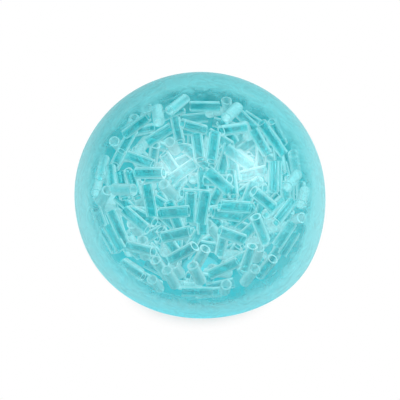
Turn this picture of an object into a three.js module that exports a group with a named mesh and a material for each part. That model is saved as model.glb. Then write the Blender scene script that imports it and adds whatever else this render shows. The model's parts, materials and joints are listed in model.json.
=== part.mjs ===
// A crunchy squeeze ball: a thick translucent rubber skin, filled with loose lengths of cut plastic tube
// through a hole in its base, which a soft stopper closes. Millimetres and degrees, +Z up. The ball stands
// on Z = 0 with the middle of its outline on the Z axis, and the picture's front of it faces -Y.
import * as THREE from "three";

// Skin
const BALL_WIDTH = 69;
const BALL_HEIGHT = 63.5;
const WIDEST_HEIGHT = 31;
const REST_WIDTH = 26;
const SKIN_WALL = 4;
const SKIN_SIDES = 48;
const SKIN_ARC_STEPS = 7;

// Where the filling pushes the soft skin out of round: a direction from the middle, and how far
const SKIN_LUMPS = [
  { towards: [0.72, -0.37, -0.6], push: 1.9 },
  { towards: [-0.9, -0.2, -0.3], push: 0.9 },
  { towards: [0.1, 0.9, 0.3], push: 0.6 },
];
const LUMP_SHARPNESS = 4;

// Fill hole and stopper
const FILL_HOLE_WIDTH = 8;
const PLUG_SEAT_WIDTH = 13;
const PLUG_SEAT_DEPTH = 1.6;
const PLUG_BARB_WIDTH = 11;
const PLUG_BARB_HEIGHT = 1.8;
const PLUG_RECESS = 0.4;
const PLUG_FIT = 0.3;
const PLUG_SIDES = 32;
const PLUG_CURVE_STEPS = 3;

// Cut tubes of the filling
const TUBE_LENGTH = 8;
const TUBE_LENGTH_SPREAD = 0.6;
const TUBE_WIDTH = 3.2;
const TUBE_THICKNESS = 2.9;
const TUBE_WALL = 0.45;
const TUBE_CUT_SLANT = 6;
const TUBE_SIDES = 10;
const TUBE_CLEARANCE = 0.3;
const PRESSED_CLEARANCE = 0.1;
const TUBE_COUNT = 58;
const SETTLING_STEP = 0.1;
const SHIFT_ANGLE = 2;
const SHIFT_STEPS = [0, -1, 1, -2, 2];

// How far the crown can be pressed down. The tubes stay clear of each other all the way.
const SQUEEZE_TRAVEL = 10;
const SQUEEZE_STAGES = [0, 0.5, 1];

// The picture that the tubes were found in: its height of view, and the ball's outline in pixels
const VIEW_ELEVATION = 31;
const OUTLINE_MIDDLE = { x: 201, y: 196.5 };
const OUTLINE_RADIUS = 124;

// Seen tubes lie at this share of the ball's radius from its middle. Near the rim they still face the viewer
// a little.
const SEEN_DEPTH = 0.87;
const RIM_FACING = 0.25;

// Tubes seen through the skin: the pixel of each one's middle, and its turn from level, anticlockwise
const SEEN_TUBES = [
  { x: 249, y: 264, turn: 73 },
  { x: 150, y: 172, turn: 0 },
  { x: 179, y: 172, turn: 35 },
  { x: 155, y: 199, turn: 98 },
  { x: 129, y: 189, turn: -2 },
  { x: 177, y: 241, turn: 13 },
  { x: 183, y: 260, turn: 30 },
  { x: 232, y: 242, turn: -20 },
  { x: 285, y: 219, turn: 50 },
  { x: 277, y: 183, turn: 88 },
  { x: 265, y: 146, turn: -60 },
  { x: 281, y: 144, turn: -54 },
  { x: 241, y: 163, turn: -35 },
  { x: 220, y: 188, turn: -42 },
  { x: 222, y: 153, turn: 82 },
  { x: 207, y: 154, turn: 97 },
  { x: 236, y: 206, turn: -4 },
  { x: 265, y: 206, turn: -38 },
  { x: 239, y: 218, turn: -8 },
  { x: 257, y: 235, turn: -66 },
  { x: 291, y: 241, turn: 62 },
  { x: 297, y: 266, turn: 57 },
  { x: 221, y: 270, turn: 25 },
  { x: 200, y: 277, turn: -66 },
  { x: 141, y: 256, turn: -12 },
  { x: 104, y: 246, turn: -58 },
  { x: 117, y: 231, turn: -65 },
  { x: 138, y: 224, turn: -40 },
  { x: 176, y: 219, turn: 5 },
  { x: 200, y: 214, turn: 80 },
  { x: 155, y: 115, turn: 100 },
  { x: 157, y: 138, turn: 32 },
  { x: 236, y: 111, turn: 48 },
  { x: 239, y: 125, turn: 10 },
  { x: 174, y: 104, turn: 45 },
  { x: 131, y: 126, turn: 35 },
  { x: 153, y: 297, turn: -60 },
  { x: 198, y: 297, turn: 0 },
  { x: 206, y: 104, turn: 0 },
  { x: 136, y: 276, turn: -30 },
];

// Finishes
const AQUA_SKIN = { color: 0x7fd6e0, roughness: 0.32, metalness: 0, transparent: true, opacity: 0.55 };
const AQUA_PLUG = { color: 0x6fcbd6, roughness: 0.45, metalness: 0 };
const CLEAR_TUBE = { color: 0xd3f2f6, roughness: 0.12, metalness: 0, transparent: true, opacity: 0.45 };

const UP = new THREE.Vector3(0, 0, 1);
const GOLDEN_ANGLE = Math.PI * (3 - Math.sqrt(5));
const MIDDLE = new THREE.Vector3(0, 0, WIDEST_HEIGHT);
const BALL_RADIUS = BALL_WIDTH / 2;
const REST_RADIUS = REST_WIDTH / 2;
const CROWN_HEIGHT = BALL_HEIGHT - WIDEST_HEIGHT;
const BARB_TOP = SKIN_WALL + PLUG_FIT + PLUG_BARB_HEIGHT;

// How far the filling pushes the skin out in one direction. The lumps die away towards the flat base.
const lumps = SKIN_LUMPS.map(({ towards, push }) => {
  return { towards: new THREE.Vector3(...towards).normalize(), push };
});
const baseEdge = new THREE.Vector3(REST_RADIUS, 0, -WIDEST_HEIGHT).normalize().z;

function lumpAt(direction) {
  const fade = THREE.MathUtils.smoothstep(direction.z, baseEdge, baseEdge / 2);
  const pushes = lumps.map(({ towards, push }) => {
    return push * Math.max(0, direction.dot(towards)) ** LUMP_SHARPNESS;
  });
  return fade * pushes.reduce((total, push) => total + push, 0);
}

// The skin is a slumped ball: an ellipse above its widest ring, and a fuller quarter below it that runs
// out into the flat base. The inner wall follows the outer one, and the stepped fill hole joins the two.
function skinOutline() {
  const outline = new THREE.Path();
  const lowerReach = BALL_RADIUS - REST_RADIUS;
  const quarter = Math.PI / 2;
  outline.moveTo(0, BALL_HEIGHT);
  outline.absellipse(0, WIDEST_HEIGHT, BALL_RADIUS, CROWN_HEIGHT, quarter, 0, true);
  outline.absellipse(REST_RADIUS, WIDEST_HEIGHT, lowerReach, WIDEST_HEIGHT, 0, -quarter, true);
  outline.lineTo(PLUG_SEAT_WIDTH / 2, 0);
  outline.lineTo(PLUG_SEAT_WIDTH / 2, PLUG_SEAT_DEPTH);
  outline.lineTo(FILL_HOLE_WIDTH / 2, PLUG_SEAT_DEPTH);
  outline.lineTo(FILL_HOLE_WIDTH / 2, SKIN_WALL);
  outline.lineTo(REST_RADIUS, SKIN_WALL);
  outline.absellipse(
    REST_RADIUS, WIDEST_HEIGHT, lowerReach - SKIN_WALL, WIDEST_HEIGHT - SKIN_WALL, -quarter, 0, false,
  );
  outline.absellipse(
    0, WIDEST_HEIGHT, BALL_RADIUS - SKIN_WALL, CROWN_HEIGHT - SKIN_WALL, 0, quarter, false,
  );
  return outline.getPoints(SKIN_ARC_STEPS);
}

// A profile of radius and height, turned about the Z axis.
function turned(profile, sides) {
  const onAxis = profile.map((point) => new THREE.Vector2(Math.max(0, point.x), point.y));
  return new THREE.LatheGeometry(onAxis.reverse(), sides).rotateX(Math.PI / 2);
}

function skinGeometry() {
  const geometry = turned(skinOutline(), SKIN_SIDES);
  const places = geometry.getAttribute("position");
  const place = new THREE.Vector3();
  for (let index = 0; index < places.count; index += 1) {
    place.fromBufferAttribute(places, index);
    const direction = place.clone().sub(MIDDLE).normalize();
    place.addScaledVector(direction, lumpAt(direction));
    places.setXYZ(index, place.x, place.y, place.z);
  }
  return geometry;
}

// The stopper: a head that seats in the step of the hole, a stem through it, and a barb inside the skin.
function plugGeometry() {
  const head = PLUG_SEAT_WIDTH / 2 - PLUG_FIT;
  const stem = FILL_HOLE_WIDTH / 2 - PLUG_FIT;
  const barb = PLUG_BARB_WIDTH / 2;
  const profile = new THREE.Path();
  profile.moveTo(0, BARB_TOP);
  profile.lineTo(stem, BARB_TOP);
  profile.quadraticCurveTo(barb, BARB_TOP, barb, SKIN_WALL + PLUG_FIT);
  profile.lineTo(stem, SKIN_WALL + PLUG_FIT);
  profile.lineTo(stem, PLUG_SEAT_DEPTH - PLUG_FIT);
  profile.lineTo(head, PLUG_SEAT_DEPTH - PLUG_FIT);
  profile.lineTo(head, PLUG_RECESS);
  profile.lineTo(0, PLUG_RECESS);
  return turned(profile.getPoints(PLUG_CURVE_STEPS), PLUG_SIDES);
}

// Whether a point, with its clearance, is in the chamber and off the stopper's barb.
function inChamber(point) {
  const direction = point.clone().sub(MIDDLE).normalize();
  const outer = point.clone().addScaledVector(direction, TUBE_CLEARANCE - lumpAt(direction));
  const fromAxis = Math.hypot(outer.x, outer.y);
  const rise = outer.z - WIDEST_HEIGHT;
  if (rise > CROWN_HEIGHT - SKIN_WALL || outer.z < SKIN_WALL) {
    return false;
  }
  const pressedHeight = point.z * (1 - SQUEEZE_TRAVEL / BALL_HEIGHT);
  if (fromAxis < PLUG_BARB_WIDTH / 2 + TUBE_CLEARANCE && pressedHeight < BARB_TOP + TUBE_CLEARANCE) {
    return false;
  }
  if (rise > 0) {
    const share = rise / (CROWN_HEIGHT - SKIN_WALL);
    return fromAxis < (BALL_RADIUS - SKIN_WALL) * Math.sqrt(1 - share * share);
  }
  const share = rise / (WIDEST_HEIGHT - SKIN_WALL);
  return fromAxis < REST_RADIUS + (BALL_RADIUS - SKIN_WALL - REST_RADIUS) * Math.sqrt(1 - share * share);
}

// Points round both cut ends of a tube.
function rimPoints(tube) {
  const points = [];
  for (let side = 0; side < TUBE_SIDES; side += 1) {
    const angle = (2 * Math.PI * side) / TUBE_SIDES;
    for (const end of [-1, 1]) {
      const point = tube.centre.clone().addScaledVector(tube.axis, end * tube.halfLength);
      point.addScaledVector(tube.across, (TUBE_WIDTH / 2) * Math.cos(angle));
      point.addScaledVector(tube.outward, (TUBE_WIDTH / 2) * Math.sin(angle));
      points.push(point);
    }
  }
  return points;
}

// How far a tube reaches from its middle along a direction.
function reachAlong(tube, direction) {
  const along = Math.min(1, Math.abs(direction.dot(tube.axis)));
  return tube.halfLength * along + (TUBE_WIDTH / 2) * Math.sqrt(1 - along * along);
}

// The middle and both ends of a tube's axis, from its middle.
function axisPoints(tube) {
  return [-1, 0, 1].map((end) => tube.axis.clone().multiplyScalar(end * tube.halfLength));
}

// Two straight tubes are clear when they lie apart, by the clearance, along some direction.
function clearOf(tube, other) {
  const apart = other.centre.clone().sub(tube.centre);
  if (apart.length() > tube.halfLength + other.halfLength + TUBE_WIDTH + SQUEEZE_TRAVEL) {
    return true;
  }
  return SQUEEZE_STAGES.every((stage) => {
    const pressed = apart.clone();
    pressed.z *= 1 - (stage * SQUEEZE_TRAVEL) / BALL_HEIGHT;
    const between = axisPoints(tube).flatMap((start) => {
      return axisPoints(other).map((end) => pressed.clone().add(end).sub(start));
    });
    const directions = [
      tube.axis,
      other.axis,
      new THREE.Vector3().crossVectors(tube.axis, other.axis),
      pressed.clone().projectOnPlane(tube.axis),
      pressed.clone().projectOnPlane(other.axis),
      ...between,
    ];
    return directions.some((direction) => {
      const way = direction.clone().normalize();
      const gap = Math.abs(way.dot(pressed)) - reachAlong(tube, way) - reachAlong(other, way);
      return gap > (stage === 0 ? TUBE_CLEARANCE : PRESSED_CLEARANCE);
    });
  });
}

// Directions of the picture, seen from the front and above.
const elevation = THREE.MathUtils.degToRad(VIEW_ELEVATION);
const pictureRight = new THREE.Vector3(1, 0, 0);
const pictureUp = new THREE.Vector3(0, Math.sin(elevation), Math.cos(elevation));
const towardsViewer = new THREE.Vector3(0, -Math.cos(elevation), Math.sin(elevation));

// A tube that lies flat against the inner wall where the picture shows it.
function seenTube({ x, y, turn }) {
  const right = (x - OUTLINE_MIDDLE.x) / OUTLINE_RADIUS;
  const up = (OUTLINE_MIDDLE.y - y) / OUTLINE_RADIUS;
  const nearness = Math.sqrt(Math.max(RIM_FACING ** 2, SEEN_DEPTH ** 2 - right ** 2 - up ** 2));
  const outward = new THREE.Vector3();
  outward.addScaledVector(pictureRight, right);
  outward.addScaledVector(pictureUp, up);
  outward.addScaledVector(towardsViewer, nearness).normalize();
  const angle = THREE.MathUtils.degToRad(turn);
  const axis = pictureRight.clone().multiplyScalar(Math.cos(angle));
  axis.addScaledVector(pictureUp, Math.sin(angle));
  axis.addScaledVector(towardsViewer, -axis.dot(outward) / outward.dot(towardsViewer)).normalize();
  return { outward, axis };
}

// Tubes on the hidden side, spread over that half of the wall in a sunflower pattern and turned every way.
function hiddenTubes(count) {
  const tubes = [];
  for (let index = 0; index < count; index += 1) {
    const height = 1 - (index + 0.5) / count;
    const around = index * GOLDEN_ANGLE;
    const radius = Math.sqrt(1 - height * height);
    const outward = pictureRight.clone().multiplyScalar(radius * Math.cos(around));
    outward.addScaledVector(pictureUp, radius * Math.sin(around));
    outward.addScaledVector(towardsViewer, -height).normalize();
    const level = new THREE.Vector3().crossVectors(UP, outward).normalize();
    tubes.push({ outward, axis: level.applyAxisAngle(outward, index * index) });
  }
  return tubes;
}

// A tube shifted a little over the wall, by angles about the middle of the ball.
function shifted({ outward, axis }, lengthways, sideways) {
  const across = new THREE.Vector3().crossVectors(outward, axis);
  const turn = new THREE.Quaternion().setFromAxisAngle(across, lengthways);
  turn.multiply(new THREE.Quaternion().setFromAxisAngle(axis, sideways));
  return { outward: outward.clone().applyQuaternion(turn), axis: axis.clone().applyQuaternion(turn) };
}

// Each tube finds the place, near the one that is wanted, where the wall and the tubes before it let it lie
// furthest out. One that finds no room is left out.
function settle(placed, wanted) {
  const length = TUBE_LENGTH + TUBE_LENGTH_SPREAD * Math.sin(placed.length * GOLDEN_ANGLE);
  const cutAllowance = (TUBE_WIDTH / 2) * Math.tan(THREE.MathUtils.degToRad(TUBE_CUT_SLANT));
  const halfLength = length / 2 + cutAllowance;
  const step = THREE.MathUtils.degToRad(SHIFT_ANGLE);
  let best;
  let leastReach = 0;
  for (const lengthways of SHIFT_STEPS) {
    for (const sideways of SHIFT_STEPS) {
      const { outward, axis } = shifted(wanted, lengthways * step, sideways * step);
      const across = new THREE.Vector3().crossVectors(outward, axis);
      const strayed = SETTLING_STEP * (Math.abs(lengthways) + Math.abs(sideways));
      let reach = Math.max(BALL_RADIUS, CROWN_HEIGHT);
      for (; reach - strayed > leastReach; reach -= SETTLING_STEP) {
        const centre = MIDDLE.clone().addScaledVector(outward, reach);
        const tube = { outward, axis, across, centre, length, halfLength };
        if (rimPoints(tube).every(inChamber) && placed.every((other) => clearOf(tube, other))) {
          best = tube;
          leastReach = reach - strayed;
          break;
        }
      }
    }
  }
  return best ? [...placed, best] : placed;
}

// A length cut from a slightly flattened tube, each end cut a little off square.
function tubeGeometry(length, index) {
  const half = { width: TUBE_WIDTH / 2, thickness: TUBE_THICKNESS / 2 };
  const section = new THREE.Shape();
  section.absellipse(0, 0, half.width, half.thickness, 0, 2 * Math.PI);
  const bore = new THREE.Path();
  bore.absellipse(0, 0, half.width - TUBE_WALL, half.thickness - TUBE_WALL, 0, 2 * Math.PI, true);
  section.holes.push(bore);
  const geometry = new THREE.ExtrudeGeometry(section, {
    depth: length, steps: 1, bevelEnabled: false, curveSegments: TUBE_SIDES / 2,
  });
  geometry.translate(0, 0, -length / 2);
  const slant = Math.tan(THREE.MathUtils.degToRad(TUBE_CUT_SLANT));
  const places = geometry.getAttribute("position");
  for (let point = 0; point < places.count; point += 1) {
    const end = Math.sign(places.getZ(point));
    const lean = slant * Math.cos(index * GOLDEN_ANGLE + end);
    places.setZ(point, places.getZ(point) + lean * places.getX(point));
  }
  return geometry;
}

function tubeMesh(tube, index) {
  const mesh = new THREE.Mesh(tubeGeometry(tube.length, index), new THREE.MeshStandardMaterial(CLEAR_TUBE));
  mesh.name = `crunch_tube_${String(index + 1).padStart(2, "0")}`;
  mesh.position.copy(tube.centre);
  const turn = new THREE.Matrix4().makeBasis(tube.across, tube.outward, tube.axis);
  mesh.quaternion.setFromRotationMatrix(turn);
  return mesh;
}

// The whole ball
const ball = new THREE.Group();
const skin = new THREE.Mesh(skinGeometry(), new THREE.MeshStandardMaterial(AQUA_SKIN));
skin.name = "skin";
const plug = new THREE.Mesh(plugGeometry(), new THREE.MeshStandardMaterial(AQUA_PLUG));
plug.name = "fill_plug";
ball.add(skin, plug);

const wanted = [...SEEN_TUBES.map(seenTube), ...hiddenTubes(TUBE_COUNT - SEEN_TUBES.length)];
const tubes = wanted.reduce(settle, []);
ball.add(...tubes.map(tubeMesh));

// The lumps move the outline's middle, so the whole ball is set back on the axis.
skin.geometry.computeBoundingBox();
const outlineMiddle = skin.geometry.boundingBox.getCenter(new THREE.Vector3());
ball.position.set(-outlineMiddle.x, -outlineMiddle.y, 0);

export default ball;
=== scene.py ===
"""A crunchy squeeze ball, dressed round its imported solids: a translucent rubber skin full of cut tubes."""
import json
import math
import random

import bpy
import numpy as np
from bpy.props import FloatProperty, FloatVectorProperty, IntProperty, PointerProperty
from bpy.types import Operator, Panel, PropertyGroup
from mathutils import Matrix, Quaternion, Vector
from mathutils.bvhtree import BVHTree

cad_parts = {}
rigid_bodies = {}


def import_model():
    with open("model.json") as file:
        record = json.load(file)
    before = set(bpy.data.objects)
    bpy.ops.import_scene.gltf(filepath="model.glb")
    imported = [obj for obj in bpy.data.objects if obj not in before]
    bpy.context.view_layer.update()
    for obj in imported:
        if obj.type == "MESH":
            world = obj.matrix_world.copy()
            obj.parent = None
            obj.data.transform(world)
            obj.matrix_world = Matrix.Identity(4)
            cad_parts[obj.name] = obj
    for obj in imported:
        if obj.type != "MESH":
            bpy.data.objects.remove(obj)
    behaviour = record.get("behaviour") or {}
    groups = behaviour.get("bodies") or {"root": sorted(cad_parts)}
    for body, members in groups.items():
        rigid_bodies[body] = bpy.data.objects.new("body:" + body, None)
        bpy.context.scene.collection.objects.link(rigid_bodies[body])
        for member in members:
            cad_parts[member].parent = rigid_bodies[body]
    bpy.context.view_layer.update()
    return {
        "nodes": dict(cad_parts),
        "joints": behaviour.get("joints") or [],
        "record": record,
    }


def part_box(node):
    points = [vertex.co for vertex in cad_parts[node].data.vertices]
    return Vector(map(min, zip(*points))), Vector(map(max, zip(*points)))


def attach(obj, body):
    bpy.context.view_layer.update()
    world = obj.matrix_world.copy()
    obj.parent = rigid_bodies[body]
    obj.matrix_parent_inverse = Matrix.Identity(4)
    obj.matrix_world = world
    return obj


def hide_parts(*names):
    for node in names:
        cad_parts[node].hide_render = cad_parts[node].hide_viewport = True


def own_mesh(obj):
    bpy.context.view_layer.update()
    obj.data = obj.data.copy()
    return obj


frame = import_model()

bl_info = {
    "name": "Crunchy squeeze ball",
    "version": (1, 0, 0),
    "blender": (4, 5, 0),
    "location": "View3D > Sidebar > Squeeze Ball",
    "description": "Models a translucent rubber ball full of loose cut tubes",
    "category": "Object",
}

MM = 0.001

# Meshing
WELD_DISTANCE = 0.002 * MM
QUAD_FACE_ANGLE = math.radians(25)
QUAD_SHAPE_ANGLE = math.radians(60)
SMOOTH_ANGLE = math.radians(40)
TUBE_SMOOTH_ANGLE = math.radians(50)
BALL_CUTS = 23
START_RADIUS_SHARE = 0.52
HOLE_SIDES = 64
SOLID_TUBE_SIDES = 20
LOOSE_TUBE_SIDES = 12

# Places tried for the loose tubes, in millimetres in from the ball's widest reach
WALL_DEPTHS = np.arange(5.6, 11.0, 0.4)
INNER_DEPTH = 8
RIM_POINTS = 6
TINY = 1e-12

# Stage: each softbox's direction from the ball is given as right, up and towards the viewer
LEFT_SOFTBOX_WAY = (-0.306, 0.459, 0.832)
RIGHT_SOFTBOX_WAY = (0.66, 0.41, 0.63)
FLOOR_SIZE = 6.0
SEE_THROUGH_LAYERS = 48

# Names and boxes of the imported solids
TUBE_NODES = sorted(name for name in frame["nodes"] if name.startswith("crunch_tube"))
NODE_BODY = {
    node: body
    for body, nodes in frame["record"]["behaviour"]["bodies"].items()
    for node in nodes
}
BALL_LOW, BALL_HIGH = (Vector(corner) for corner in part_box("skin"))
BALL_MIDDLE = (BALL_LOW + BALL_HIGH) / 2
BALL_SIZE = BALL_HIGH - BALL_LOW
PLUG_LOW, PLUG_HIGH = (Vector(corner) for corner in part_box("fill_plug"))


def squeeze_strain():
    """The share of its height that the ball loses at the end of the squeeze."""
    joint = next(j for j in frame["joints"] if j["name"] == "squeeze")
    node = frame["record"]["behaviour"]["bodies"][joint["child"]][0]
    low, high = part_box(node)
    return joint["range_m"][1] / ((low[2] + high[2]) / 2)


STRAIN = squeeze_strain()


class SkinSettings(PropertyGroup):
    """Sizes and colours of the rubber skin and its stopper."""
    wall: FloatProperty(
        name="Wall", description="Thickness of the skin", default=3.6 * MM, unit="LENGTH")
    hole_gap: FloatProperty(
        name="Hole gap", description="Room round the stopper in its hole",
        default=0.3 * MM, unit="LENGTH")
    hole_radius: FloatProperty(
        name="Hole radius", description="Radius of the hole that the stem passes",
        default=4.0 * MM, unit="LENGTH")
    seat_depth: FloatProperty(
        name="Seat depth", description="Depth of the step for the stopper's head",
        default=1.6 * MM, unit="LENGTH")
    clear_tint: FloatVectorProperty(
        name="Clear tint", description="Colour of light that passes the skin",
        default=(0.83, 0.97, 0.975), subtype="COLOR")
    slant_tint: FloatVectorProperty(
        name="Slant tint", description="Colour of light that passes the skin at a slant",
        default=(0.66, 0.965, 0.975), subtype="COLOR")
    lit: FloatVectorProperty(
        name="Lit", description="Colour of lamp light past one face of the skin",
        default=(0.875, 0.895, 0.897), subtype="COLOR")
    milk: FloatVectorProperty(
        name="Milk", description="Colour of the light that the skin scatters",
        default=(0.175, 0.565, 0.60), subtype="COLOR")
    # A deeper aqua that the skin's scattered colour takes towards the bottom, set by height alone.
    base_milk: FloatVectorProperty(
        name="Base milk", description="Colour of the light that the base scatters",
        default=(0.05, 0.60, 0.68), subtype="COLOR")
    base_height: FloatProperty(
        name="Base height", description="How high the deeper colour of the base reaches",
        default=15 * MM, unit="LENGTH")
    # Colour of the far inner face: the rubber's aqua, darkened into painted shade of the ball's dim depths.
    aqua_and_depth_shade: FloatVectorProperty(
        name="Deep", description="Colour of the skin's inner face",
        default=(0.002, 0.43, 0.475), subtype="COLOR")
    plug_colour: FloatVectorProperty(
        name="Stopper", description="Colour of the stopper",
        default=(0.12, 0.52, 0.57), subtype="COLOR")


class TubeSettings(PropertyGroup):
    """Sizes, number and colour of the cut tubes."""
    length: FloatProperty(
        name="Length", description="Length of a loose tube", default=8 * MM, unit="LENGTH")
    radius: FloatProperty(
        name="Radius", description="Radius of a loose tube", default=1.55 * MM, unit="LENGTH")
    wall: FloatProperty(
        name="Wall", description="Wall of a tube", default=0.42 * MM, unit="LENGTH")
    clearance: FloatProperty(
        name="Clearance", description="Least gap between tubes", default=0.12 * MM, unit="LENGTH")
    fill_height: FloatProperty(
        name="Fill height", description="How high the loose pile has settled",
        default=45 * MM, unit="LENGTH")
    slant: FloatProperty(
        name="Slant", description="Most that a cut end is off square",
        default=math.radians(6), subtype="ANGLE")
    wall_tries: IntProperty(
        name="Wall tries", description="Tries to lay a tube against the skin", default=2600)
    inner_tries: IntProperty(
        name="Inner tries", description="Tries to put a tube deeper in the pile", default=1600)
    seed: IntProperty(name="Seed", description="Draw of the pile", default=7)
    # This colour serves both the plastic's real haze and the painted light along the tubes' edges.
    tint: FloatVectorProperty(
        name="Tint", description="Colour that the plastic scatters",
        default=(0.95, 0.915, 0.915), subtype="COLOR")
    clear: FloatVectorProperty(
        name="Clear", description="Colour of what is seen past one wall",
        default=(0.53, 0.925, 0.935), subtype="COLOR")
    wall_cover: FloatProperty(
        name="Wall cover", description="How much of what lies behind it a tube's wall hides",
        default=0.01)
    cut_cover: FloatProperty(
        name="Cut cover", description="How much of what lies behind it a rough cut end hides",
        default=0.6)
    lit: FloatVectorProperty(
        name="Lit", description="Colour of lamp light past one wall",
        default=(0.985, 0.985, 0.985), subtype="COLOR")


class StageSettings(PropertyGroup):
    """The camera, the lamps and the floor."""
    elevation: FloatProperty(
        name="Elevation", description="Height of the view",
        default=math.radians(31), subtype="ANGLE")
    lens: FloatProperty(name="Lens", description="Focal length in millimetres", default=110)
    share: FloatProperty(
        name="Share", description="Share of the picture's width that the ball fills",
        default=251.5 / 400)
    drop: FloatProperty(
        name="Drop", description="Share of the picture that the ball sits above its middle",
        default=12.5 / 400)
    # Within shadow_radius the floor takes a darker, reddish colour: painted shadow round the ball's foot, on
    # top of its real shadow. It turns plain white by white_radius.
    shadow_radius: FloatProperty(
        name="Shadow radius", description="Reach of the floor that shows the shadow",
        default=11.5 * MM, unit="LENGTH")
    white_radius: FloatProperty(
        name="White radius", description="Where the floor is plain white",
        default=25 * MM, unit="LENGTH")
    near_floor_and_painted_shadow: FloatVectorProperty(
        name="Paper", description="Colour of the floor that is seen by the ball",
        default=(0.50, 0.435, 0.43), subtype="COLOR")
    bounce: FloatVectorProperty(
        name="Bounce", description="Colour of the floor as it lights the ball",
        default=(0.8, 0.8, 0.8), subtype="COLOR")
    sky: FloatProperty(
        name="Sky", description="Strength of the soft light all round", default=0.74)
    mirrored_sky: FloatProperty(
        name="Mirrored sky", description="Strength of what shiny faces mirror beside the lamps",
        default=0.32)
    softbox_size: FloatProperty(
        name="Softbox", description="Side of each softbox", default=0.30, unit="LENGTH")
    softbox_distance: FloatProperty(
        name="Softbox distance", description="From the ball to each softbox",
        default=0.62, unit="LENGTH")
    softbox_power: FloatProperty(
        name="Softbox power", description="Power of the left softbox in watts", default=2.8)
    right_share: FloatProperty(
        name="Right share", description="Power of the right softbox beside the left", default=1.22)


# Tools of the bench

def only(piece):
    """Makes one object the whole selection."""
    bpy.ops.object.select_all(action="DESELECT")
    piece.select_set(True)
    bpy.context.view_layer.objects.active = piece
    return piece


def named(piece, name):
    piece.name = name
    piece.data.name = name
    return piece


def edit(piece, *steps):
    """Runs edit-mode steps on the whole mesh."""
    only(piece)
    bpy.ops.object.mode_set(mode="EDIT")
    bpy.ops.mesh.select_all(action="SELECT")
    for step in steps:
        step()
    bpy.ops.object.mode_set(mode="OBJECT")
    return piece


def modify(piece, kind, **settings):
    """Adds one modifier and applies it."""
    only(piece)
    modifier = piece.modifiers.new(kind.title(), kind)
    for key, value in settings.items():
        setattr(modifier, key, value)
    bpy.ops.object.modifier_apply(modifier=modifier.name)
    return piece


def smooth_levels(piece, levels):
    return modify(piece, "SUBSURF", levels=levels, render_levels=levels)


def copy_of_node(node, name):
    """A copy of a CAD node's mesh with its loose triangles joined into quads."""
    piece = bpy.data.objects.new(name, frame["nodes"][node].data.copy())
    bpy.context.scene.collection.objects.link(piece)
    piece.data.materials.clear()
    edit(
        named(piece, name),
        lambda: bpy.ops.mesh.remove_doubles(threshold=WELD_DISTANCE),
        lambda: bpy.ops.mesh.tris_convert_to_quads(
            face_threshold=QUAD_FACE_ANGLE, shape_threshold=QUAD_SHAPE_ANGLE),
    )
    return piece


def remove(piece):
    mesh = piece.data
    bpy.data.objects.remove(piece)
    bpy.data.meshes.remove(mesh)


# Finishes

class Finish:
    """A material's node tree, with short names for adding and joining nodes."""

    def __init__(self, name):
        self.material = bpy.data.materials.new(name)
        self.material.use_nodes = True
        self.tree = self.material.node_tree
        self.tree.nodes.clear()
        self.output = self.tree.nodes.new("ShaderNodeOutputMaterial")

    def add(self, kind, **sockets):
        node = self.tree.nodes.new("ShaderNode" + kind)
        for key, value in sockets.items():
            socket = node.inputs[key.replace("_", " ")]
            if isinstance(value, bpy.types.NodeSocket):
                self.tree.links.new(value, socket)
            elif socket.type == "RGBA" and len(value) == 3:
                socket.default_value = (*value, 1)
            else:
                socket.default_value = value
        return node

    def mix(self, factor, first, second):
        node = self.tree.nodes.new("ShaderNodeMixShader")
        if isinstance(factor, bpy.types.NodeSocket):
            self.tree.links.new(factor, node.inputs[0])
        else:
            node.inputs[0].default_value = factor
        self.tree.links.new(first, node.inputs[1])
        self.tree.links.new(second, node.inputs[2])
        return node.outputs[0]

    def ramp(self, value, over, gives):
        """A smooth step from one given value to the other while the input goes over a stretch."""
        node = self.add(
            "MapRange", Value=value, From_Min=over[0], From_Max=over[1], To_Min=gives[0], To_Max=gives[1])
        node.interpolation_type = "SMOOTHSTEP"
        return node.outputs["Result"]

    def total(self, first, second):
        """The sum of two values."""
        node = self.add("Math")
        self.tree.links.new(first, node.inputs[0])
        self.tree.links.new(second, node.inputs[1])
        return node.outputs[0]

    def milk(self, colour, through_share, **sockets):
        """A scattering plastic, lit from the near side and, by a share, from the far side."""
        body = self.add("BsdfDiffuse", Color=colour, **sockets)
        through = self.add("BsdfTranslucent", Color=colour, **sockets)
        return self.mix(through_share, body.outputs[0], through.outputs[0])

    def clear(self, colour):
        """Lets light straight past in one colour."""
        return self.add("BsdfTransparent", Color=colour).outputs[0]

    def facing(self):
        """From 0, looked at face on, to 1, looked along."""
        return self.add("LayerWeight", Blend=0.5).outputs["Facing"]

    def done(self, shader):
        self.tree.links.new(shader, self.output.inputs["Surface"])
        return self.material

    def done_lit(self, shader, colour):
        """Ends a finish that lets lamp light past in one colour."""
        path = self.add("LightPath")
        return self.done(self.mix(path.outputs["Is Shadow Ray"], shader, self.clear(colour)))


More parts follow.
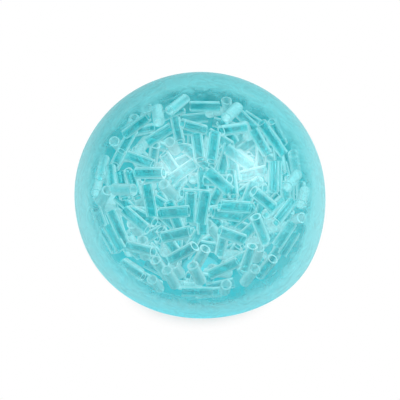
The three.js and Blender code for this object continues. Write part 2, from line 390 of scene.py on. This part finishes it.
def outer_skin_finish(settings):
    """Soft translucent rubber: clear face on, milkier where the wall is looked along."""
    finish = Finish("aqua_skin")
    place = finish.add("TexCoord").outputs["Object"]
    cloud = finish.add("TexNoise", Vector=place, Scale=210.0, Detail=5.0, Distortion=1.2)
    grain = finish.add("TexNoise", Vector=place, Scale=900.0, Detail=2.0)
    bump = finish.add("Bump", Height=grain.outputs["Fac"], Strength=0.04, Distance=0.1 * MM)
    normal = bump.outputs["Normal"]
    # Below base_height the scattered colour turns a deeper aqua, set by height alone.
    height = finish.add("SeparateXYZ", Vector=place).outputs["Z"]
    above = finish.ramp(height, over=(0.3 * settings.base_height, settings.base_height), gives=(0, 1))
    base = finish.milk(settings.base_milk, through_share=0.5, Normal=normal)
    upper = finish.milk(settings.milk, through_share=0.5, Normal=normal)
    milk = finish.mix(above, base, upper)
    facing = finish.facing()
    slanted = finish.ramp(facing, over=(0.1, 0.55), gives=(0, 1))
    clear = finish.mix(slanted, finish.clear(settings.clear_tint), finish.clear(settings.slant_tint))
    share = finish.ramp(facing, over=(0.36, 0.66), gives=(0.04, 0.94))
    drift = finish.ramp(cloud.outputs["Fac"], over=(0.3, 0.7), gives=(-0.28, 0.28))
    shader = finish.mix(finish.total(share, drift), clear, milk)
    shine = finish.add("BsdfGlossy", Roughness=0.28, Normal=normal)
    gloss = finish.ramp(facing, over=(0.3, 1.0), gives=(0.045, 0.22))
    return finish.done_lit(finish.mix(gloss, shader, shine.outputs[0]), settings.lit)


def inner_skin_finish(settings):
    """The skin's inner face: clear on the near wall, and on the far one a milky colour that is the rubber's
    aqua darkened into painted shade of the ball's dim depths.
    """
    finish = Finish("aqua_skin_inner")
    place = finish.add("TexCoord").outputs["Object"]
    cloud = finish.add("TexNoise", Vector=place, Scale=120.0, Detail=2.0)
    drift = finish.ramp(cloud.outputs["Fac"], over=(0.3, 0.7), gives=(-0.08, 0.08))
    # Seen from inside and face on, the far wall is mostly this painted depth shade, hiding what lies behind
    # it.
    cover = finish.ramp(finish.facing(), over=(0.58, 0.97), gives=(0.88, 0.12))
    milk = finish.milk(settings.aqua_and_depth_shade, through_share=0.3)
    clear = finish.clear(settings.clear_tint)
    far = finish.mix(finish.total(cover, drift), clear, milk)
    near_cover = 0.04
    near = finish.mix(near_cover, clear, milk)
    behind = finish.add("NewGeometry").outputs["Backfacing"]
    return finish.done_lit(finish.mix(behind, far, near), settings.lit)


def tube_finish(settings, name, cover):
    """Clear plastic: see-through face on, glossy, with painted light along its edges, a whitening that
    stands in for reflections and light carried inside the walls. A rough cut covers more.
    """
    finish = Finish(name)
    place = finish.add("TexCoord").outputs["Object"]
    cloud = finish.add("TexNoise", Vector=place, Scale=300.0, Detail=1.0)
    haze = finish.ramp(cloud.outputs["Fac"], over=(0.35, 0.65), gives=(cover, cover + 0.09))
    facing = finish.facing()
    # Painted light: at grazing views the plastic turns whiter, standing in for reflections and light carried
    # inside the clear walls.
    painted_edge_light = finish.ramp(facing, over=(0.2, 0.58), gives=(0, 0.9))
    milk = finish.milk(settings.tint, through_share=0.5)
    shader = finish.mix(finish.total(haze, painted_edge_light), finish.clear(settings.clear), milk)
    shine = finish.add("BsdfGlossy", Roughness=0.08)
    gloss = finish.ramp(facing, over=(0.4, 1.0), gives=(0.07, 0.5))
    return finish.done_lit(finish.mix(gloss, shader, shine.outputs[0]), settings.lit)


def plug_finish(settings):
    """Solid rubber with a fine grain."""
    finish = Finish("aqua_plug")
    place = finish.add("TexCoord").outputs["Object"]
    grain = finish.add("TexNoise", Vector=place, Scale=1200.0, Detail=3.0)
    bump = finish.add("Bump", Height=grain.outputs["Fac"], Strength=0.15, Distance=0.1 * MM)
    body = finish.add(
        "BsdfPrincipled", Base_Color=settings.plug_colour, Roughness=0.42, IOR=1.45,
        Normal=bump.outputs["Normal"])
    return finish.done(body.outputs[0])


# Skin

def quad_ball(name):
    """A ball of even quads, a little larger than the skin, to be shrunk onto it."""
    bpy.ops.object.select_all(action="DESELECT")
    bpy.ops.mesh.primitive_cube_add(size=2, location=(0, 0, 0))
    piece = named(bpy.context.object, name)
    edit(piece, lambda: bpy.ops.mesh.subdivide(number_cuts=BALL_CUTS))
    for vertex in piece.data.vertices:
        vertex.co = vertex.co.normalized() * max(BALL_SIZE) * START_RADIUS_SHARE + BALL_MIDDLE
    return piece


def fit(piece, low, high):
    """Stretches a mesh a little, so that it fills a box exactly."""
    points = np.array([vertex.co for vertex in piece.data.vertices])
    old_low, old_high = points.min(0), points.max(0)
    stretch = (np.array(high) - np.array(low)) / (old_high - old_low)
    shift = np.array(low) - old_low * stretch
    piece.data.transform(Matrix.Translation(Vector(shift)) @ Matrix.Diagonal((*stretch, 1)))
    return piece


def cut_hole(piece, settings):
    """Cuts the stepped fill hole through the base."""
    axis_place = (PLUG_LOW + PLUG_HIGH) / 2
    head = (PLUG_HIGH.x - PLUG_LOW.x) / 2 + settings.hole_gap
    depths = {head: settings.seat_depth, settings.hole_radius: 2 * settings.wall}
    for radius, depth in depths.items():
        bpy.ops.object.select_all(action="DESELECT")
        bpy.ops.mesh.primitive_cylinder_add(
            vertices=HOLE_SIDES, radius=radius, depth=2 * depth, location=(axis_place.x, axis_place.y, 0))
        cutter = bpy.context.object
        bpy.ops.object.transform_apply(location=True, rotation=True, scale=True)
        modify(piece, "BOOLEAN", object=cutter, operation="DIFFERENCE", solver="EXACT")
        remove(cutter)
    return piece


class CRUNCH_OT_skin(Operator):
    """Models the skin as an even quad shell on the solid's outer face"""
    bl_idname = "crunch.skin"
    bl_label = "Skin"

    def execute(self, context):
        settings = context.scene.crunch_skin
        target = smooth_levels(copy_of_node("skin", "skin_target"), 1)
        skin = quad_ball("ball_skin")
        modify(skin, "SHRINKWRAP", target=target, wrap_method="NEAREST_SURFACEPOINT")
        modify(skin, "SMOOTH", factor=0.5, iterations=6)
        modify(skin, "SHRINKWRAP", target=target, wrap_method="NEAREST_SURFACEPOINT")
        modify(skin, "SMOOTH", factor=0.5, iterations=2)
        smooth_levels(skin, 1)
        fit(skin, BALL_LOW, BALL_HIGH)
        remove(target)
        skin.data.materials.append(outer_skin_finish(settings))
        skin.data.materials.append(inner_skin_finish(settings))
        modify(skin, "SOLIDIFY", thickness=settings.wall, offset=-1, material_offset=1)
        cut_hole(skin, settings)
        only(skin)
        bpy.ops.object.shade_smooth_by_angle(angle=SMOOTH_ANGLE)
        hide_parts("skin")
        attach(skin, "ball")
        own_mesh(skin)
        return {"FINISHED"}


class CRUNCH_OT_plug(Operator):
    """Models the stopper from its solid, with rounded edges"""
    bl_idname = "crunch.plug"
    bl_label = "Stopper"

    def execute(self, context):
        plug = copy_of_node("fill_plug", "stopper")
        modify(
            plug, "BEVEL", width=0.25 * MM, segments=3, limit_method="ANGLE", angle_limit=SMOOTH_ANGLE)
        only(plug)
        bpy.ops.object.shade_smooth_by_angle(angle=SMOOTH_ANGLE)
        plug.data.materials.append(plug_finish(context.scene.crunch_skin))
        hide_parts("fill_plug")
        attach(plug, "ball")
        return {"FINISHED"}


# Filling

def tube_pattern(settings, sides, finishes):
    """A tube with square ends, along Z about the origin, one unit in radius and in half length."""
    bpy.ops.object.select_all(action="DESELECT")
    bpy.ops.mesh.primitive_cylinder_add(vertices=sides, radius=1, depth=2, end_fill_type="NOTHING")
    piece = named(bpy.context.object, "tube_pattern")
    for finish in finishes:
        piece.data.materials.append(finish)
    modify(
        piece, "SOLIDIFY", thickness=settings.wall / settings.radius, offset=-1, material_offset_rim=1)
    edit(piece, lambda: bpy.ops.mesh.normals_make_consistent(inside=False))
    only(piece)
    bpy.ops.object.shade_smooth_by_angle(angle=TUBE_SMOOTH_ANGLE)
    return piece


class Tube:
    """One tube's place: its middle, its directions (the last along it), their halves and its cuts' leans."""

    def __init__(self, middle, directions, halves, leans):
        self.middle = middle
        self.directions = directions
        self.halves = halves
        self.leans = leans

    @property
    def axis(self):
        return self.directions[2]

    def laid(self, pattern, name):
        """A copy of the pattern, with its own mesh, stretched and turned to this place."""
        piece = bpy.data.objects.new(name, pattern.data.copy())
        bpy.context.scene.collection.objects.link(piece)
        points = np.array([vertex.co for vertex in piece.data.vertices])
        ends = points[:, 2] > 0
        points = points * self.halves
        for end, lean in zip((~ends, ends), self.leans):
            points[end, 2] += points[end, :2] @ lean
        piece.data.vertices.foreach_set("co", points.ravel())
        turn = Matrix(self.directions.tolist()).transposed().to_4x4()
        piece.data.transform(Matrix.Translation(Vector(self.middle)) @ turn)
        return named(piece, name)


def solid_tube(node):
    """The place of a CAD tube, read from its own corners, which all lie on its two cut ends."""
    points = np.array([vertex.co for vertex in frame["nodes"][node].data.vertices])
    middle = np.unique(points.round(7), axis=0).mean(0)
    lengthways, across, _ = np.linalg.svd(points - middle, full_matrices=False)[2]
    directions = np.array([across, np.cross(lengthways, across), lengthways])
    local = (points - middle) @ directions.T
    half = np.abs(local[:, 2]).mean()
    leans = []
    for end in (local[:, 2] < 0, local[:, 2] > 0):
        cut = np.column_stack([local[end, :2], np.ones(end.sum())])
        leans.append(np.linalg.lstsq(cut, local[end, 2], rcond=None)[0][:2])
    return Tube(middle, directions, np.array([*np.abs(local[:, :2]).max(0), half]), leans)


class CRUNCH_OT_tubes(Operator):
    """Models each tube that lies against the skin from its solid"""
    bl_idname = "crunch.tubes"
    bl_label = "Cut tubes"

    def execute(self, context):
        settings = context.scene.crunch_tubes
        finishes = [
            tube_finish(settings, "clear_tube", settings.wall_cover),
            tube_finish(settings, "cut_end", settings.cut_cover),
        ]
        pattern = tube_pattern(settings, SOLID_TUBE_SIDES, finishes)
        for node in TUBE_NODES:
            piece = solid_tube(node).laid(pattern, node.replace("crunch_tube", "cut_tube"))
            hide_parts(node)
            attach(piece, NODE_BODY[node])
        remove(pattern)
        return {"FINISHED"}


class Pile:
    """The tubes placed so far, as arrays of middles, axes and half lengths."""

    def __init__(self, radius, clearance):
        self.radius = radius
        self.clearance = clearance
        self.middles = np.zeros((0, 3))
        self.axes = np.zeros((0, 3))
        self.halves = np.zeros(0)

    def add(self, middle, axis, half):
        self.middles = np.vstack([self.middles, middle])
        self.axes = np.vstack([self.axes, axis])
        self.halves = np.append(self.halves, half)

    def reach(self, axes, halves, ways):
        """How far tubes reach from their middles along some directions."""
        along = np.minimum(1, np.abs((axes * ways).sum(-1)))
        return halves * along + self.radius * np.sqrt(1 - along * along)

    def clear(self, middle, axis, half):
        """True if some direction parts this tube from each of the others, at rest and squeezed."""
        apart = self.middles - middle
        near = np.linalg.norm(apart, axis=1) < self.halves + half + 3 * self.radius
        if not near.any():
            return True
        axes, halves = self.axes[near], self.halves[near]
        for squeeze in (0, STRAIN):
            offset = apart[near] * (1, 1, 1 - squeeze)
            ends = [
                offset + axes * (halves * far)[:, None] - axis * half * near_end
                for far in (-1, 0, 1)
                for near_end in (-1, 0, 1)
            ]
            flat = offset - axis * (offset @ axis)[:, None]
            other_flat = offset - axes * (offset * axes).sum(1)[:, None]
            own = np.broadcast_to(axis, axes.shape)
            ways = np.stack([own, axes, np.cross(axes, axis), flat, other_flat, *ends])
            ways = ways / np.maximum(np.linalg.norm(ways, axis=-1, keepdims=True), TINY)
            gap = np.abs((ways * offset).sum(-1))
            gap = gap - self.reach(own, half, ways) - self.reach(axes, halves, ways)
            if (gap.max(0) < self.clearance).any():
                return False
        return True


class Chamber:
    """The room inside the skin, at rest and squeezed."""

    def __init__(self, context, heights):
        self.settings = context.scene.crunch_tubes
        self.heights = heights
        shell = copy_of_node("skin", "shell_probe")
        self.tree = BVHTree.FromObject(shell, context.evaluated_depsgraph_get())
        remove(shell)
        self.plug_top = PLUG_HIGH.z + 2 * self.settings.clearance
        self.plug_reach = PLUG_HIGH.x + self.settings.clearance

    def off_skin(self, place):
        """True if a place in the chamber is clear of the skin's rubber."""
        spot, normal, _, distance = self.tree.find_nearest(place)
        return distance >= self.settings.clearance and (place - spot).dot(normal) >= 0

    def holds(self, middle, axis):
        """True if both rims of a tube are clear of the skin and of the stopper, at rest and squeezed."""
        if middle[2] > self.settings.fill_height:
            return False
        axis = Vector(axis)
        fall = STRAIN * min(self.heights, key=lambda height: abs(height - middle[2]))
        side = axis.orthogonal().normalized()
        for end in (-1, 1):
            for step in range(RIM_POINTS):
                way = Quaternion(axis, step * math.tau / RIM_POINTS) @ side
                point = Vector(middle) + axis * (self.settings.length / 2) * end + way * self.settings.radius
                squeezed = Vector((point.x, point.y, (point.z - fall) / (1 - STRAIN)))
                if not (self.off_skin(point) and self.off_skin(squeezed)):
                    return False
                if point.xy.length < self.plug_reach and point.z - fall < self.plug_top:
                    return False
        return True


def drawn_way(draw):
    """A direction drawn evenly from all, of any length."""
    return np.array([draw.gauss(0, 1) for _ in range(3)])


class CRUNCH_OT_filling(Operator):
    """Piles the rest of the tubes in the chamber, each riding with the solid tube nearest in height"""
    bl_idname = "crunch.filling"
    bl_label = "Loose filling"

    def execute(self, context):
        settings = context.scene.crunch_tubes
        draw = random.Random(settings.seed)
        solids = {node: solid_tube(node) for node in TUBE_NODES}
        slant = math.tan(settings.slant)
        self.half = settings.length / 2
        self.chamber = Chamber(context, [tube.middle[2] for tube in solids.values()])
        self.pile = Pile(settings.radius, settings.clearance)
        for tube in solids.values():
            self.pile.add(tube.middle, tube.axis, tube.halves[2] + slant * settings.radius)
        placed = self.along_wall(draw, settings.wall_tries) + self.deeper(draw, settings.inner_tries)
        tubes = []
        for middle, axis in placed:
            across = np.array(Vector(axis).orthogonal().normalized())
            directions = np.array([across, np.cross(axis, across), axis])
            leans = [np.array([draw.uniform(-slant, slant), 0]) for _ in range(2)]
            halves = np.array([settings.radius, settings.radius, self.half - slant * settings.radius])
            tubes.append(Tube(middle, directions, halves, leans))
        self.lay(tubes, solids, settings)
        return {"FINISHED"}

    def put(self, middle, axis):
        """Adds a tube to the pile if there is room for it, and tells whether there was."""
        if self.chamber.holds(middle, axis) and self.pile.clear(middle, axis, self.half):
            self.pile.add(middle, axis, self.half)
            return True
        return False

    def along_wall(self, draw, tries):
        """Tubes that lie flat against the skin, each as far out as it can go."""
        placed = []
        for _ in range(tries):
            outward = drawn_way(draw)
            outward /= np.linalg.norm(outward)
            axis = np.cross(outward, drawn_way(draw))
            axis /= np.linalg.norm(axis)
            for depth in WALL_DEPTHS:
                middle = np.array(BALL_MIDDLE) + outward * (max(BALL_SIZE) / 2 - depth * MM)
                if self.put(middle, axis):
                    placed.append((middle, axis))
                    break
        return placed

    def deeper(self, draw, tries):
        """Tubes anywhere in the chamber, turned every way."""
        placed = []
        for _ in range(tries):
            outward = drawn_way(draw)
            outward *= draw.random() ** (1 / 3) / np.linalg.norm(outward)
            axis = drawn_way(draw)
            axis /= np.linalg.norm(axis)
            middle = np.array(BALL_MIDDLE) + outward * (max(BALL_SIZE) / 2 - INNER_DEPTH * MM)
            if self.put(middle, axis):
                placed.append((middle, axis))
        return placed

    def lay(self, tubes, solids, settings):
        """Lays a copy of the pattern in each place, joined by the solid tube that is nearest in height."""
        finished = bpy.data.objects[TUBE_NODES[0].replace("crunch_tube", "cut_tube")]
        pattern = tube_pattern(settings, LOOSE_TUBE_SIDES, finished.data.materials)
        groups = {}
        for tube in tubes:
            node = min(solids, key=lambda name: abs(solids[name].middle[2] - tube.middle[2]))
            groups.setdefault(node, []).append(tube)
        for node, members in sorted(groups.items()):
            copies = [tube.laid(pattern, "loose_tube") for tube in members]
            bpy.ops.object.select_all(action="DESELECT")
            for copy in copies:
                copy.select_set(True)
            bpy.context.view_layer.objects.active = copies[0]
            if len(copies) > 1:
                bpy.ops.object.join()
            piece = named(bpy.context.view_layer.objects.active, node.replace("crunch_tube", "loose_tubes"))
            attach(piece, NODE_BODY[node])
        remove(pattern)


# Stage

def camera_axes(elevation):
    """The picture's right, up and towards-the-viewer directions."""
    right = Vector((1, 0, 0))
    up = Vector((0, math.sin(elevation), math.cos(elevation)))
    towards = Vector((0, -math.cos(elevation), math.sin(elevation)))
    return right, up, towards


def aimed(place, target, up):
    """A turn that looks from a place at a target."""
    back = (place - target).normalized()
    right = up.cross(back).normalized()
    return Matrix((right, back.cross(right), back)).transposed().to_4x4()


class CRUNCH_OT_stage(Operator):
    """Sets the white floor, the soft light and the camera"""
    bl_idname = "crunch.stage"
    bl_label = "Stage"

    def execute(self, context):
        settings = context.scene.crunch_stage
        right, up, towards = camera_axes(settings.elevation)
        self.camera(context, settings, up, towards)
        self.lamps(context, settings, right, up, towards)
        self.floor(settings)
        self.world(context, settings)
        context.scene.view_settings.view_transform = "Standard"
        context.scene.cycles.transparent_max_bounces = SEE_THROUGH_LAYERS
        return {"FINISHED"}

    def camera(self, context, settings, up, towards):
        data = bpy.data.cameras.new("camera")
        camera = bpy.data.objects.new("camera", data)
        context.scene.collection.objects.link(camera)
        data.lens = settings.lens
        half_width = data.sensor_width / 2 * settings.share / settings.lens
        distance = BALL_SIZE.x / 2 / math.sin(math.atan(half_width))
        target = BALL_MIDDLE - up * settings.drop * BALL_SIZE.x / settings.share
        place = target + towards * distance
        camera.matrix_world = Matrix.Translation(place) @ aimed(place, target, up)
        context.scene.camera = camera

    def lamps(self, context, settings, right, up, towards):
        softboxes = {
            "left_softbox": (LEFT_SOFTBOX_WAY, settings.softbox_power),
            "right_softbox": (RIGHT_SOFTBOX_WAY, settings.softbox_power * settings.right_share),
        }
        for name, (way, power) in softboxes.items():
            data = bpy.data.lights.new(name, "AREA")
            data.shape = "SQUARE"
            data.size = settings.softbox_size
            data.energy = power
            lamp = bpy.data.objects.new(name, data)
            context.scene.collection.objects.link(lamp)
            place = BALL_MIDDLE + settings.softbox_distance * (
                right * way[0] + up * way[1] + towards * way[2])
            lamp.matrix_world = Matrix.Translation(place) @ aimed(place, BALL_MIDDLE, up)

    def floor(self, settings):
        """A floor that shows the ball's real shadow on a darker, reddish colour close to the ball, which is
        painted shadow, and is plain white further out.
        """
        bpy.ops.object.select_all(action="DESELECT")
        bpy.ops.mesh.primitive_plane_add(size=FLOOR_SIZE, location=(0, 0, 0))
        floor = named(bpy.context.object, "floor")
        finish = Finish("white_floor")
        near_floor_and_painted_shadow = finish.add("BsdfDiffuse", Color=settings.near_floor_and_painted_shadow)
        bounce = finish.add("BsdfDiffuse", Color=settings.bounce)
        white = finish.add("Emission", Color=(1, 1, 1), Strength=1.0)
        away = finish.add("VectorMath", Vector=finish.add("TexCoord").outputs["Object"])
        away.operation = "LENGTH"
        # Near the ball the floor shows a darker, reddish colour as painted shadow, turning to plain white
        # further out.
        painted_shadow_fade = finish.ramp(
            away.outputs["Value"], over=(settings.shadow_radius, settings.white_radius), gives=(0, 1))
        seen = finish.mix(painted_shadow_fade, near_floor_and_painted_shadow.outputs[0], white.outputs[0])
        camera_ray = finish.add("LightPath").outputs["Is Camera Ray"]
        floor.data.materials.append(finish.done(finish.mix(camera_ray, bounce.outputs[0], seen)))

    def world(self, context, settings):
        """White where it is seen, soft light all round, and dimmer where a shiny face mirrors it."""
        world = bpy.data.worlds.new("soft_sky")
        context.scene.world = world
        world.use_nodes = True
        tree = world.node_tree
        tree.nodes.clear()
        path = tree.nodes.new("ShaderNodeLightPath")
        seen = tree.nodes.new("ShaderNodeMath")
        seen.operation = "MAXIMUM"
        tree.links.new(path.outputs["Is Camera Ray"], seen.inputs[0])
        tree.links.new(path.outputs["Is Transmission Ray"], seen.inputs[1])

        def light(strength):
            node = tree.nodes.new("ShaderNodeBackground")
            node.inputs["Color"].default_value = (1, 1, 1, 1)
            node.inputs["Strength"].default_value = strength
            return node.outputs[0]

        def mix(factor, first, second):
            node = tree.nodes.new("ShaderNodeMixShader")
            for socket, source in zip(node.inputs, (factor, first, second)):
                tree.links.new(source, socket)
            return node.outputs[0]

        lit = mix(path.outputs["Is Glossy Ray"], light(settings.sky), light(settings.mirrored_sky))
        output = tree.nodes.new("ShaderNodeOutputWorld")
        tree.links.new(mix(seen.outputs[0], lit, light(1.0)), output.inputs["Surface"])


class CRUNCH_PT_panel(Panel):
    """Lists the steps that build the ball"""
    bl_idname = "CRUNCH_PT_panel"
    bl_label = "Squeeze Ball"
    bl_space_type = "VIEW_3D"
    bl_region_type = "UI"
    bl_category = "Squeeze Ball"

    def draw(self, context):
        for operator in OPERATORS:
            self.layout.operator(operator.bl_idname)
        for group in SETTINGS:
            settings = getattr(context.scene, group)
            for key in settings.__annotations__:
                self.layout.prop(settings, key)


OPERATORS = (CRUNCH_OT_stage, CRUNCH_OT_skin, CRUNCH_OT_plug, CRUNCH_OT_tubes, CRUNCH_OT_filling)
SETTINGS = {"crunch_skin": SkinSettings, "crunch_tubes": TubeSettings, "crunch_stage": StageSettings}
CLASSES = (*SETTINGS.values(), *OPERATORS, CRUNCH_PT_panel)


def register():
    for made in CLASSES:
        bpy.utils.register_class(made)
    for name, group in SETTINGS.items():
        setattr(bpy.types.Scene, name, PointerProperty(type=group))


def unregister():
    for name in SETTINGS:
        delattr(bpy.types.Scene, name)
    for made in reversed(CLASSES):
        bpy.utils.unregister_class(made)


def main():
    register()
    bpy.ops.crunch.stage()
    bpy.ops.crunch.skin()
    bpy.ops.crunch.plug()
    bpy.ops.crunch.tubes()
    bpy.ops.crunch.filling()


if __name__ == "__main__":
    main()
